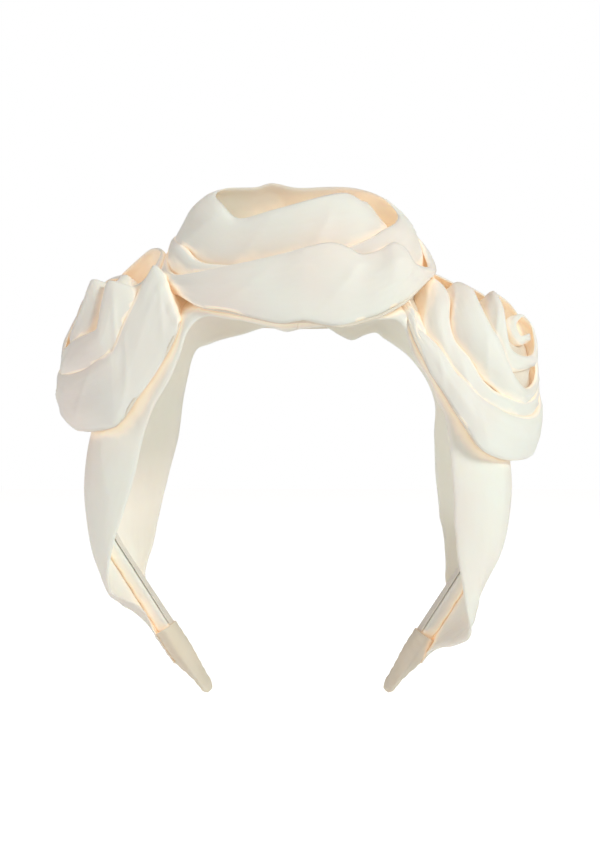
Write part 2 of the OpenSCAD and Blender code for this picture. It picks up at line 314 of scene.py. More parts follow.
def satin_of(name, light, tint, shade_tone, crease, sheen=0.25):
    """Satin that drifts from light to tint, with painted shade and a painted glow in its folds."""
    material = bpy.data.materials.new(name)
    made, links, shader = tree_of(material)
    cloth = made.new("ShaderNodeGroup")
    cloth.node_tree = woven
    uv, where = made.new("ShaderNodeUVMap"), made.new("ShaderNodeTexCoord")
    uv.uv_map = "cloth"
    fold_shade_and_glow = made.new("ShaderNodeAttribute")
    fold_shade_and_glow.attribute_name = "fold_shade_and_glow"
    bump = made.new("ShaderNodeBump")
    dial(bump, {"Distance": 0.001, "Strength": 0.6})
    dial(cloth, {"Light": (*light, 1), "Tint": (*tint, 1), "Shade and slub colour": (*shade_tone, 1), "Crease": crease})
    dial(shader, {"Sheen Weight": sheen, "Sheen Roughness": 0.35, "Sheen Tint": (1.0, 0.97, 0.92, 1),
                  "Subsurface Weight": 0.18, "Subsurface Radius": (1.0, 0.6, 0.35), "Subsurface Scale": 0.005,
                  "Specular IOR Level": 0.36, "Emission Strength": 0.24})
    # A painted glow stands in for light through the cloth: warm in the folds, and pale on the inner face of the
    # cover.
    through = made.new("ShaderNodeValToRGB")
    through.color_ramp.elements[0].color = (0, 0, 0, 1)
    through.color_ramp.elements[1].color = (0.60, 0.36, 0.19, 1)
    through.color_ramp.elements.new(0.5).color = (1.0, 0.75, 0.52, 1)
    inner_glow, both = made.new("ShaderNodeAttribute"), made.new("ShaderNodeMix")
    inner_glow.attribute_name = "inside"
    both.data_type, both.blend_type = "RGBA", "ADD"
    both.inputs[7].default_value = (0.36, 0.39, 0.37, 1)
    join(links, (uv, "UV", cloth, "Cloth"), (where, "Object", cloth, "Place"), (fold_shade_and_glow, "Fac", cloth, "Fold shade"),
         (cloth, "Color", shader, "Base Color"), (cloth, "Roughness", shader, "Roughness"),
         (cloth, "Height", bump, "Height"), (bump, "Normal", shader, "Normal"), (fold_shade_and_glow, "Fac", through, "Fac"),
         (inner_glow, "Fac", both, 0), (through, "Color", both, 6), (both, 2, shader, "Emission Color"))
    return material


# Its third colour is the painted warm shade of the folds; it also darkens the slubs a little.
ivory = satin_of("ivory_satin", (0.885, 0.893, 0.825), (0.895, 0.838, 0.775), (0.95, 0.80, 0.63), 2.2)


def round_bar(half, low, high, points, squareness):
    """Section of a padded strip as (across, out) pairs, with soft corners."""
    ring = []
    for i in range(points):
        a = 2 * math.pi * (i + 0.5) / points
        c, z = math.cos(a), math.sin(a)
        y = half * math.copysign(abs(c) ** (2 / squareness), c)
        d = (low + high) / 2 + (high - low) / 2 * math.copysign(abs(z) ** (2 / squareness), z)
        ring.append((y, d))
    return ring


def hinge_ends(side):
    """Two points along the hoop, one on each side of an arm's flexure."""
    x, z, turn = flex_x * side, flex_z, math.radians(flex_turn)
    run = (flex_reach * math.cos(turn) * side, -flex_reach * math.sin(turn))
    return ((x - run[0]) * MM, 0, (z - run[1]) * MM), ((x + run[0]) * MM, 0, (z + run[1]) * MM)


wrap_rings, wrap_points, wrap_square, ruck_high, tip_high = 150, 40, 4.5, 0.16, 2.9
for side, arm in ((-1, "left"), (1, "right")):
    rings = []
    for i in range(wrap_rings):
        s = wrap_end * i / (wrap_rings - 1)
        close = math.sqrt(max(0.02, 1 - max(0.0, (s - wrap_end + 2) / 2) ** 2))
        high = mix(tip_high, wrap_out(s), smooth((hoop_end - s) / 14))
        bar = round_bar(wrap_half(s) * close, wrap_low(s), high, wrap_points, wrap_square)
        ruck = ruck_high * smooth((s - 100) / 40)
        rings.append([on_hoop(side, s, y, d + ruck * math.sin(s * 0.9 + y * 0.5) * (d > 1.5)) for y, d in bar])
    wrap = loft("satin_wrap_" + arm + "_half", rings, ivory)
    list(hinge_ends(side))
    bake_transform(wrap)
    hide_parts("satin_wrap_crown", "satin_wrap_" + arm)

# ---- Ribbon lining ----
# A flat woven ribbon is glued along the head side over the edges of the wrap. It narrows with the hoop
# and ends inside the tip caps. A node tree sweeps it along the hoop's line, from the crown to each tip.
ribbon_t, ribbon_rows, weave_w, line_steps, wrap_shows, sunk = 0.36, 130, 0.016, 180, 0.9, 0.02


class Tree:
    """A Geometry Nodes tree with named inputs, whose nodes are added one after another."""

    def __init__(self, name, *wanted):
        self.tree = bpy.data.node_groups.new(name, "GeometryNodeTree")
        self.tree.interface.new_socket(name="Geometry", in_out="OUTPUT", socket_type="NodeSocketGeometry")
        for label, kind in (("Geometry", "Geometry"),) + wanted:
            self.tree.interface.new_socket(name=label, in_out="INPUT", socket_type="NodeSocket" + kind)
        self.given = self.tree.nodes.new("NodeGroupInput").outputs

    def add(self, kind, settings=(), **sockets):
        """Adds a node. A socket's value is a number, a vector or another node's output."""
        node = self.tree.nodes.new(kind)
        for label, value in settings:
            setattr(node, label, value)
        for label, value in sockets.items():
            socket = node.inputs[int(label[1:]) if label[0] == "_" else label.replace("_", " ")]
            if isinstance(value, bpy.types.NodeSocket):
                self.tree.links.new(value, socket)
            else:
                socket.default_value = value
        return node.outputs

    def maths(self, operation, a, b):
        return self.add("ShaderNodeMath", [("operation", operation)], _0=a, _1=b)[0]

    def named(self, label, kind):
        return self.add("GeometryNodeInputNamedAttribute", [("data_type", kind)], Name=label)[0]

    def finish(self, geometry):
        smooth_one = self.add("GeometryNodeSetShadeSmooth", Geometry=geometry)[0]
        whole = self.add("GeometryNodeRealizeInstances", Geometry=smooth_one)[0]
        painted = self.add("GeometryNodeSetMaterial", Geometry=whole, Material=self.given["Material"])[0]
        self.add("NodeGroupOutput", Geometry=painted)


def grown(name, start, tree, slot, **values):
    """Runs a tree on a start mesh and keeps the result as a plain mesh with its faces outwards."""
    piece = bpy.data.objects.new(name, start)
    bpy.context.scene.collection.objects.link(piece)
    modifier = piece.modifiers.new("grow", "NODES")
    modifier.node_group = tree.tree
    sockets = {item.name: item.identifier for item in tree.tree.interface.items_tree if item.in_out == "INPUT"}
    for label, value in values.items():
        modifier[sockets[label.replace("_", " ")]] = value
    mesh = bpy.data.meshes.new_from_object(piece.evaluated_get(bpy.context.evaluated_depsgraph_get()))
    piece.modifiers.remove(modifier)
    piece.data = mesh
    mesh.name = name
    check = bmesh.new()
    check.from_mesh(mesh)
    if check.calc_volume(signed=True) < 0:
        mesh.flip_normals()
    check.free()
    return piece


def points_with(name, places, edges, **vectors):
    """A mesh of bare points, in metres, that carries a vector for each point under each name."""
    mesh = bpy.data.meshes.new(name)
    mesh.from_pydata(places, edges, [])
    for label, rows in vectors.items():
        mesh.attributes.new(label, "FLOAT_VECTOR", "POINT").data.foreach_set("vector", np.array(rows, float).ravel())
    return mesh


def away_from_head(side, s):
    a, b = np.array(on_hoop(side, s, 0, 0)), np.array(on_hoop(side, s, 0, 1))
    return tuple(b - a)


ribbon = Tree("ribbon_along_hoop", ("Length", "Float"), ("Thickness", "Float"), ("Rows", "Int"),
              ("Material", "Material"))
line = ribbon.add("GeometryNodeMeshToCurve", Mesh=ribbon.given["Geometry"])[0]
far = ribbon.add("ShaderNodeCombineXYZ", X=ribbon.given["Length"])[0]
straight = ribbon.add("GeometryNodeCurvePrimitiveLine", End=far)[0]
rows = ribbon.add("GeometryNodeResampleCurve", Curve=straight, Count=ribbon.given["Rows"])[0]
edge = ribbon.add("GeometryNodeCurvePrimitiveQuadrilateral", Width=1.0, Height=1.0)[0]
edge = ribbon.add("GeometryNodeFilletCurve", [("mode", "POLY")], Curve=edge, Count=3, Radius=0.12)[0]
flat_ribbon = ribbon.add("GeometryNodeCurveToMesh", Curve=rows, Profile_Curve=edge, Fill_Caps=True)[0]
place = ribbon.add("ShaderNodeSeparateXYZ", Vector=ribbon.add("GeometryNodeInputPosition")[0])
weave_at = ribbon.add("ShaderNodeCombineXYZ", X=place["X"], Y=ribbon.maths("MULTIPLY", place["Y"], weave_w))[0]
mapped = ribbon.add("GeometryNodeStoreNamedAttribute", [("data_type", "FLOAT2"), ("domain", "CORNER")],
                    Geometry=flat_ribbon, Name="cloth", Value=weave_at)[0]
share = ribbon.maths("DIVIDE", place["X"], ribbon.given["Length"])


def on_line(label):
    return ribbon.add("GeometryNodeSampleCurve", [("data_type", "FLOAT_VECTOR"), ("mode", "FACTOR")],
                      Curves=line, Value=ribbon.named(label, "FLOAT_VECTOR"), Factor=share)


def scaled(vector, factor):
    return ribbon.add("ShaderNodeVectorMath", [("operation", "SCALE")], _0=vector, Scale=factor)[0]


across_it, out_of_it = on_line("full_width"), on_line("away")
thick = ribbon.maths("MULTIPLY", place["Z"], ribbon.given["Thickness"])
sideways, lifted = scaled(across_it["Value"], place["Y"]), scaled(out_of_it["Value"], thick)
spot = ribbon.add("ShaderNodeVectorMath", _0=across_it["Position"], _1=sideways)[0]
spot = ribbon.add("ShaderNodeVectorMath", _0=spot, _1=lifted)[0]
ribbon.finish(ribbon.add("GeometryNodeSetPosition", Geometry=mapped, Position=spot)[0])

lining_satin = satin_of("lining_ribbon", (0.93, 0.87, 0.78), (0.90, 0.83, 0.73), (0.66, 0.54, 0.42), 0.2, sheen=0.3)
for side, arm in ((-1, "left"), (1, "right")):
    lengths = [ribbon_end * i / line_steps for i in range(line_steps + 1)]
    places = [tuple(v * MM for v in on_hoop(side, s, 0, wrap_low(s) - sunk - ribbon_t / 2)) for s in lengths]
    widths = []
    for s in lengths:
        half = hoop_half(s) - wrap_shows
        a, b = np.array(on_hoop(side, s, -half, 0)), np.array(on_hoop(side, s, half, 0))
        widths.append(tuple((b - a) * MM))
    hoop_line = points_with("hoop_line_" + arm, places, [(i, i + 1) for i in range(line_steps)],
                            full_width=widths, away=[away_from_head(side, s) for s in lengths])
    lining = grown("ribbon_lining_" + arm + "_half", hoop_line, ribbon, "ribbon", Length=ribbon_end * MM,
                   Thickness=ribbon_t * MM, Rows=ribbon_rows, Material=lining_satin)
    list(hinge_ends(side))
    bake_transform(lining)
    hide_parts("ribbon_lining_crown", "ribbon_lining_" + arm)

# ---- Cover ----
# A wide strip of doubled satin is fixed along the middle of the band. Its front and back edges curl in
# past the hoop, and near the tips they spring open before the strip narrows into the caps.
# Each hem line gives (length along the hoop, distance in from the outside, distance from the middle).
cover_t, hem_half, hem_next_half = 1.2, 0.12, 0.46
cover_rings, cover_across, puff_high, ripple_high, crease_high = 190, 34, 3.9, 0.6, 0.75
front_left = [
    (0, 20, 29), (5, 20.6, 29), (10, 19, 29), (18, 16, 29), (27, 11.7, 29), (33, 7.9, 29), (40, 8, 29),
    (50, 13.4, 29), (59, 16.2, 29), (72, 16.9, 29), (90, 18.4, 28.5), (102, 17.8, 28.5), (112, 15.5, 28.5),
    (119.5, 11.8, 28.5), (126, 6.2, 28.5), (131, 1.2, 28), (135, -1.6, 28), (139.5, -2.9, 26.5), (143, -0.6, 23),
    (147.6, 2.2, 17), (152.6, 4.2, 11), (157, 4.2, 7.2), (162, 2, 6.2), (178, 1, 5.2)]
back_left = [
    (0, 13.5, 29), (8, 14.2, 29), (18, 15, 29), (25, 15.2, 29), (38, 13.5, 29), (44, 12.6, 29), (54.5, 17.9, 29),
    (64, 22, 29), (73, 24.8, 28.5), (83, 26.3, 28.5), (99, 26, 28.5), (116, 23.3, 28.5), (127, 18.7, 28.5),
    (133.5, 12.8, 28), (137, 8.2, 27), (141, 4, 25), (146, 2.4, 20), (152, 2, 13), (157, 2, 8), (162, 1, 6.4),
    (178, 1, 5.2)]
front_right = [
    (0, 20, 29), (5, 19.4, 29), (10, 18.5, 29), (20, 15, 29), (30, 10.5, 29), (37, 8, 29), (48, 14.3, 29),
    (59, 16.1, 29), (67, 17.8, 29), (75, 18.1, 29), (84, 19.3, 28.5), (96, 20.2, 28.5), (109, 20.1, 28.5),
    (122.6, 17.6, 28.5), (132, 12.1, 28.5), (139.7, 6, 28), (147.3, 0, 28), (152.4, -4.5, 27.5), (155, -5.4, 26),
    (160, -3.5, 20), (163, -1.9, 14), (166.5, 0, 8.5), (170, 1, 6), (178, 1, 5.2)]
back_right = [
    (0, 13.5, 29), (8, 13.8, 29), (13.5, 15.6, 29), (19, 17.2, 29), (24.5, 17.6, 29), (28.5, 14.4, 29), (32, 12, 29),
    (36, 12.4, 29), (50, 12.4, 29), (69, 15.3, 29), (83, 20.3, 28.5), (103, 22.8, 28.5), (124, 19.2, 28.5),
    (133, 12.4, 28), (139, 7.6, 27.5), (143, 4.8, 27), (149, -1, 26), (154, -2.5, 22), (159, -1, 14), (163, 0.4, 8),
    (168, 1, 6), (178, 1, 5.2)]


def between(table, s, column):
    """A column of a hem line at length s, on a smooth curve through its rows."""
    xs = [row[0] for row in table]
    i = min(len(xs) - 2, max(0, int(np.searchsorted(xs, s)) - 1))
    p0, p1, p2, p3 = (table[max(0, i - 1)], table[i], table[i + 1], table[min(len(xs) - 1, i + 2)])
    t = (s - p1[0]) / (p2[0] - p1[0])
    slope1 = (p2[column] - p0[column]) / max(p2[0] - p0[0], 1e-6) * (p2[0] - p1[0])
    slope2 = (p3[column] - p1[column]) / max(p3[0] - p1[0], 1e-6) * (p2[0] - p1[0])
    a, b = p1[column], p2[column]
    return ((2 * t ** 3 - 3 * t ** 2 + 1) * a + (t ** 3 - 2 * t ** 2 + t) * slope1
            + (3 * t ** 2 - 2 * t ** 3) * b + (t ** 3 - t ** 2) * slope2)


def ripple(seed, u, v):
    """Soft long folds, from a few fixed waves."""
    return (math.sin(u * 0.071 + v * 0.31 + seed) + 0.7 * math.sin(u * 0.043 - v * 0.23 + 2.3 * seed)
            + 0.45 * math.sin(u * 0.19 + v * 0.17 + 4.1 * seed)) / 2.15


def crease_line(u, v, seed):
    """Narrow ridges, where the cloth has been folded and pressed. One comes in every 26 of u, slanted by v."""
    return (1 - abs(math.sin(u * 0.12 + v + seed + 0.6 * math.sin(u * 0.05 + seed)))) ** 4


for side, arm, front, back in ((-1, "left", front_left, back_left), (1, "right", front_right, back_right)):
    rings, inside = [], []
    for i in range(cover_rings):
        s = (hoop_end - 13) * i / (cover_rings - 1)
        bed = wrap_out(s) - 0.15
        flat = wrap_half(s) + 0.5
        puff = puff_high * smooth((s - 108) / 22) * smooth((hoop_end - 22 - s) / 14)
        wings = []
        for hem, way in ((front, -1), (back, 1)):
            depth, reach = between(hem, s, 1), max(flat + 0.4, between(hem, s, 2))
            spread = (reach - flat) / 19
            row = []
            for k in range(cover_across + 1):
                t = k / cover_across
                y = flat + (reach - flat) * math.sin(t * math.pi / 2) ** 0.92
                wing = mix(1 - math.cos(t * math.pi / 2), t ** 1.5, 0.35)
                swell = puff * spread * math.sin(math.pi * t ** 0.8) * (1 - 0.3 * t)
                d = bed - depth * wing * min(1, spread * 1.6) + swell
                d += ripple_high * t * spread * ripple(1.3 + way, side * s, y)
                d += crease_high * math.sin(math.pi * t) * spread * crease_line(0.3 * side * s, y * 0.17, 0.9 + way)
                row.append((way * y, d))
            wings.append(row)
        pts = np.array(wings[0][::-1] + wings[1])
        run = np.gradient(pts, axis=0)
        run /= np.linalg.norm(run, axis=1)[:, None] + 1e-9
        normal = np.stack([-run[:, 1], run[:, 0]], 1)
        h = cover_t / 2 * np.ones(len(pts))
        h[0] = h[-1] = hem_half
        h[1] = h[-2] = hem_next_half
        mid = pts + np.array([0, cover_t / 2])
        top, under = mid + normal * h[:, None], mid - normal * h[:, None]
        rings.append([on_hoop(side, s, y, d) for y, d in [*top, *under[::-1]]])
        # A painted glow on the inner face stands in for light through the cloth: hardly any at the crown, and less
        # near the tips.
        lit = smooth((s - 30) / 22) * (1 - 0.8 * smooth((s - 116) / 16))
        inside.append([0.0] * len(pts) + [lit] * len(pts))
    cover = loft("cover_" + arm + "_half", rings, ivory, inside)
    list(hinge_ends(side))
    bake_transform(cover)
    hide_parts("cover_crown", "cover_" + arm)

# ---- Tip caps ----
# A small piece of heavier beige satin is folded over each tip and glued, with its fold as a ridge along
# the front. It holds the ends of the wrap, the lining and the cover.
wall, past_hoop, ridge_high, cap_points, cap_square, inner_rings, outer_rings = 0.5, 1.8, 2.3, 48, 2.4, 18, 40
# Its third colour is the painted shade of the cap's folds; it also darkens the slubs a little.
beige = satin_of("beige_cap_satin", (0.83, 0.765, 0.645), (0.80, 0.70, 0.55), (0.70, 0.52, 0.36), 0.35, sheen=0.2)
for side, arm, mouth in ((-1, "left", hoop_end - 24.6), (1, "right", hoop_end - 21.5)):

    def cap_ring(s, more):
        """Two flat facets meet in a ridge on the front, and the cap closes to a rounded point past the hoop."""
        close = smooth((s - hoop_end + 17) / 16)
        point = math.sqrt(max(0.03, 1 - max(0.0, (s - hoop_end + 1.6) / (3.4 + more)) ** 2))
        low, top = mix(-0.9, 0.45, close) - more, mix(wrap_out(s) + cover_t + 0.5, 2.7, close) + more
        middle_d = (low + top) / 2
        low, top = mix(middle_d, low, point), mix(middle_d, top, point)
        half = (wrap_half(s) * mix(1, 0.95, close) + 0.5 + more) * point
        ridge_d, ring = mix(low, top, 0.4), []
        for y, d in round_bar(half, low, top, cap_points, cap_square):
            tent = max(0.0, 1 - abs(d - ridge_d) / (top - ridge_d)) if y < 0 else 0.0
            ring.append(on_hoop(side, s, y - ridge_high * tent * point, d + 0.1 * math.sin(s * 1.9 + y * 0.8)))
        return ring

    reach = hoop_end + past_hoop
    hollow = reach - 1.2
    rings = [cap_ring(hollow - (hollow - mouth) * i / inner_rings, 0.0) for i in range(inner_rings + 1)]
    rings += [cap_ring(mouth - 0.3, wall / 2)]
    rings += [cap_ring(mouth + (reach - mouth) * math.sin(i / outer_rings * math.pi / 2), wall)
              for i in range(outer_rings + 1)]
    cap = loft("tip_cap_" + arm + "_folded", rings, beige)
    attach(cap, arm + "_arm")
    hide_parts("tip_cap_" + arm)

# ---- Middle knot ----
# One long strip of doubled satin coiled flat on edge, from a rolled heart outwards, and tacked over the
# crown. Each turn leans in over the last, and the lowest turn hangs past the cover in front and behind.
EYE = (0.7, -49.5, 800.0)
strip_t, strip_across, strip_per, roll, tuck_len = 1.0, 24, 8, 0.8, 34


def seen_from_front(x, z, y):
    """Brings a place judged from 0.8 m in front back to its true x and z at depth y."""
    k = (EYE[2] + y) / EYE[2]
    return EYE[0] + (x - EYE[0]) * k, y, EYE[1] + (z - EYE[1]) * k


def spline(points, per):
    """Points on a smooth curve through the stations, per of them for each stretch."""
    p = np.array([points[0], *points, points[-1]], float)
    out = []
    for i in range(1, len(p) - 2):
        a, b, c, d = p[i - 1], p[i], p[i + 1], p[i + 2]
        for k in range(per):
            t = k / per
            out.append(0.5 * (2 * b + (c - a) * t + (2 * a - 5 * b + 4 * c - d) * t * t
                              + (3 * b - a - 3 * c + d) * t ** 3))
    out.append(p[-2])
    return np.array(out)


def coiled_strip(name, stations, seed, bulge=1.5, pleat=0.4, winding=1, gather=0.0):
    """A strip of doubled satin that stands on edge along its stations. It puffs outwards, rolls over at its
    rim and carries soft pleats along its length, with closer gathers over its first stretch."""
    rims = spline([seen_from_front(*s[:3]) for s in stations], strip_per)
    feet = spline([seen_from_front(*s[3:6]) for s in stations], strip_per)
    puffs = spline([[s[6] if len(s) > 6 else bulge] for s in stations], strip_per)[:, 0]
    middle = (rims + feet) / 2
    run = np.gradient(middle, axis=0)
    run /= np.linalg.norm(run, axis=1)[:, None]
    up = rims - feet
    normal = np.cross(up, run) * winding
    normal /= np.linalg.norm(normal, axis=1)[:, None] + 1e-9
    length = np.concatenate([[0], np.cumsum(np.linalg.norm(np.diff(middle, axis=0), axis=1))])
    rings, shares = [], [k / strip_across for k in range(strip_across + 1)]
    for i in range(len(rims)):
        ends = smooth(length[i] / 6) * smooth((length[-1] - length[i]) / 6)
        line = []
        for t in shares:
            out = puffs[i] * 4 * t * (1 - t) ** 0.9 - roll * max(0.0, (t - 0.8) / 0.2) ** 2
            out += (pleat * ripple(seed, length[i] * 0.8, t * 22)
                    + 0.4 * pleat * ripple(seed + 5, length[i] * 1.7, t * 46))
            out += 1.5 * pleat * math.sin(math.pi * t) * crease_line(length[i], t * 2.2, seed)
            out += gather * max(0.0, 1 - length[i] / tuck_len) * math.sin(t * 34 + 1.5 * math.sin(length[i] * 0.2))
            line.append(feet[i] + up[i] * t + normal[i] * out)
        line = np.array(line)
        slope = np.gradient(line, axis=0)
        face = np.cross(slope, run[i]) * winding
        face /= np.linalg.norm(face, axis=1)[:, None] + 1e-9
        h = np.array([strip_t / 2 * (max(0.0, 1 - abs(2 * t - 1) ** 14)) ** 0.5 for t in shares]) + 0.05
        h *= 0.3 + 0.7 * ends
        rings.append(list(line + face * h[:, None]) + list((line - face * h[:, None])[::-1]))
    return loft(name, rings, ivory)


# Each station gives the rim and the foot of the strip, as (x, z, y) each, looking at the band's front, and
# may give how far the strip puffs out there.
middle_strip = [
    (2, 23, -2, 2, 7, -3, 0.5), (-4, 24, -6, -4, 7, -8, 1), (-10, 24.5, -3, -10, 7, -3, 1),
    (-10, 25.5, 3, -11, 8, 4, 1), (-2, 27, 6, -2, 8, 8, 1), (8, 28, 4.5, 9, 8, 6, 1), (14, 28, -2, 15, 8, -2, 1),
    (10, 26.5, -8, 11, 7, -10, 1), (0, 25, -11, 0, 6, -13, 1), (-12, 22.5, -11, -13, 6, -13, 1),
    (-19, 21, -5, -20, 7, -6, 1), (-20, 22, 3, -21, 8, 5, 1), (-10, 25.5, 7, -11, 8, 12, 1), (4, 29, 8, 4, 8, 13, 1),
    (16, 31.5, 6, 19, 8, 9, 1), (23.5, 31, -1, 31, 10, -2, 1), (21.5, 31.8, -8, 33, 12, -14, 1),
    (17, 34, -12, 25, 8, -19), (10, 33, -15.5, 14, 5, -23), (0, 30.3, -18, 1, 4, -25.5, 2.5),
    (-10, 27.5, -18, -13, 2, -24.5, 2.5), (-20.5, 25, -15.5, -26, 3, -21), (-26, 29.5, -11.5, -38, 9, -14, 2),
    (-29, 33, -4, -43.5, 13, -3, 2.2), (-26, 35.3, 6, -40, 12, 12, 2), (-15, 35.6, 10.5, -19, 8, 18, 2),
    (-9, 37, 11, -11, 8, 20, 2), (0, 35.4, 12, 0, 8, 22, 2), (12, 35.7, 11, 14, 8, 21, 2),
    (21, 35, 8.5, 25, 8, 17, 2), (30, 32, 3, 37.5, 9, 8, 2), (35, 26.8, -4, 43, 8, -5, 1.5),
    (34.3, 23.7, -12, 41.5, 5, -15, 1.5), (30, 21, -19, 32, 1, -22), (25, 18, -23, 26, -1, -27),
    (15, 14.5, -26, 15, -3, -30, 2), (0, 12, -28, 0, -4, -31, 2), (-12, 9.5, -27.5, -13, -5, -30, 2),
    (-25, 8.8, -25.5, -27, -5, -27.5, 2), (-34, 10, -20.5, -36, -2, -22, 2), (-39, 15, -12, -42, 1, -12, 2),
    (-42, 18.3, -2, -44.5, 4, 0, 1.2), (-39.5, 19.5, 10, -42.5, 4, 14, 2), (-26, 24.5, 19, -29, 1, 24, 2.5),
    (-8, 25, 23.5, -9, -1, 29, 2.5), (10, 25, 23.5, 10, -1, 29, 2.5), (26, 24, 18, 28, -1, 23, 2.5),
    (36, 22, 8, 40, -2, 12, 2), (41.3, 18.3, -1, 44.5, 0, 0, 1.5), (44, 13.2, -9, 46.2, 2, -9, 1),
    (45.8, 8.3, -16, 46.2, 4.5, -16.5, 0.5), (43.4, 8, -21, 43.5, 1.8, -22, 1),
    (39.8, 10, -24.5, 40.3, -1, -26.5, 1.5), (37, 15, -25.5, 36.5, -4.4, -29, 3),
    (33, 16.6, -27, 32, -6.7, -31.5, 3.5), (28, 13.8, -29, 28, -9.3, -33, 3), (22, 12.7, -31, 22, -10.9, -34.5, 2.5),
    (17, 15.2, -32, 16.5, -12.7, -35.5, 2.8), (11, 16.6, -33, 10.5, -12.2, -36.5, 3),
    (4, 15.2, -33.8, 3, -10.6, -37.2, 3), (1, 14.5, -33.8, -0.5, -10.8, -37.2, 3),
    (-5, 12.8, -33, -6, -11.4, -36.5, 3), (-15, 10.5, -31.8, -14, -9.8, -35.2, 3),
    (-25, 8.5, -29.5, -24, -7.4, -33, 3), (-35, 6.2, -25.5, -34, -5.7, -29, 2.8),
    (-42, 5.2, -18.5, -41.5, -1.6, -21, 2), (-45.3, 8, -9, -45.5, -3, -10, 1.5), (-44.8, 14, 1, -46, -4, 2, 1.5),
    (-40.5, 15, 13, -43, -7, 15, 2), (-28, 14, 25, -30, -11, 29, 3), (-10, 13, 31, -10, -13, 36, 3),
    (10, 13, 31, 10, -13, 36, 3), (28, 12, 25, 30, -11, 29, 3), (40, 8, 13, 43, -7, 15, 2),
    (43, 3, 2, 44.5, -6, 3, 1)]
middle_knot = coiled_strip("middle_knot_strip", middle_strip, 1.7, bulge=2.6, pleat=0.45)
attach(middle_knot, "crown")
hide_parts("middle_knot_outer_coil", "middle_knot_inner_coil", "middle_knot_bud")

# ---- Left knot ----
# A smaller coil of the same strip, tacked on the left shoulder with its heart facing up and outwards.
# Its first turn is gathered under the end of the middle knot.
left_strip = [
    (-37, 2, -8, -31, -9, -14, 0.5), (-42.5, 5, -10, -35, -10, -18, 0.5), (-46.5, 6.5, -12.5, -38.5, -11, -22, 0.3),
    (-49.5, 9, -17.5, -41, -11.3, -29.3, 1), (-53, 4, -21.5, -42, -15, -30.5, 1.2),
    (-56, -2, -24, -44.5, -20.5, -31.3, 1.4), (-59, -8, -26.3, -48, -27, -31.8, 1.5),
    (-61.5, -14, -28, -52, -33, -32.3, 1.5), (-63.3, -19, -29.5, -56.5, -39, -33, 1.2),
    (-64.2, -20.8, -30.2, -60.7, -44.6, -33.7, 0.8), (-65.3, -21.3, -29.8, -63.3, -47.2, -33, 0.8),
    (-68.5, -22.7, -27, -67, -48, -29.5, 1.5), (-73, -25.5, -22, -71.5, -48.6, -24, 2),
    (-78, -28, -15, -76.5, -48.3, -16, 2), (-81, -28, -6, -80.3, -44.5, -5, 1.5), (-82, -27, 4, -80.5, -43, 6, 1),
    (-80, -24, 14, -76, -42, 18, 2), (-75, -17, 22, -68, -36, 27, 2.5), (-69, -6, 25, -59, -27, 31, 2.5),
    (-62, 4, 21, -51, -17, 30, 2.5), (-56, 10, 14, -46, -6, 23, 2), (-50, 14.5, 6, -44, 2, 12, 1.5),
    (-47, 12.5, -2, -44, 3, 2, 1), (-52.5, 4, -10, -48, 0, -12, 1), (-57.5, 1.2, -16, -51, -6, -20, 1.5),
    (-61, 2.8, -19, -53, -12, -24, 2), (-65.5, 3.4, -20, -56, -18, -26, 2), (-67.5, -2, -22, -59, -22, -27, 1.8),
    (-69, -10, -24.5, -62, -27, -28, 1.2), (-70, -13.3, -24.8, -65, -30, -27.5, 1),
    (-73.5, -15, -21, -70, -32, -23, 1.8), (-77.5, -17, -14, -75, -33, -16, 2),
    (-80.5, -20, -5, -78.5, -33, -5, 1.5), (-81, -20, 3, -78.5, -32, 5, 1), (-79.5, -15, 11, -76, -29, 15, 2),
    (-76, -8, 16.5, -70, -23, 22, 2), (-71, -1, 18, -63, -14, 24, 2), (-65.5, 3.5, 13, -57, -5, 18, 2),
    (-61.5, 4.4, 4, -54, 0, 6, 1.2), (-63.5, 2.5, -5, -57, -3, -8, 1.2), (-66.5, 2.6, -11, -60, -8, -15, 1.8),
    (-70.5, 4, -14, -62, -13, -18, 2), (-72.5, 1.5, -15, -65, -17, -19, 2), (-74.5, -5, -15.3, -69, -20, -18, 1.5),
    (-76.5, -11, -11, -73, -22, -13, 1.5), (-78, -14, -3, -76, -23, -3, 1), (-77, -11, 5, -74, -19, 7, 1.2),
    (-74.5, -4, 9.5, -70, -13, 13, 1.5), (-70.5, 1, 7, -65, -6, 10, 1.2), (-68.5, 0.5, 0.5, -63.5, -6, 1, 1),
    (-70, -3, -5.5, -65, -10, -7, 1), (-74, -8.5, -6, -70, -14, -8, 1), (-76, -10, 0, -72, -15, 0.5, 0.8),
    (-74, -5.5, 4, -69, -11, 5.5, 0.8), (-71.5, -3.5, 0.5, -66.5, -9, 1, 0.5),
    (-73, -6.5, -1.5, -69, -12, -1.5, 0.3)]
left_knot = coiled_strip("left_knot_strip", left_strip, 3.1, gather=0.22)
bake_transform(left_knot)
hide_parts("left_knot_outer_coil", "left_knot_inner_coil", "left_knot_bud")

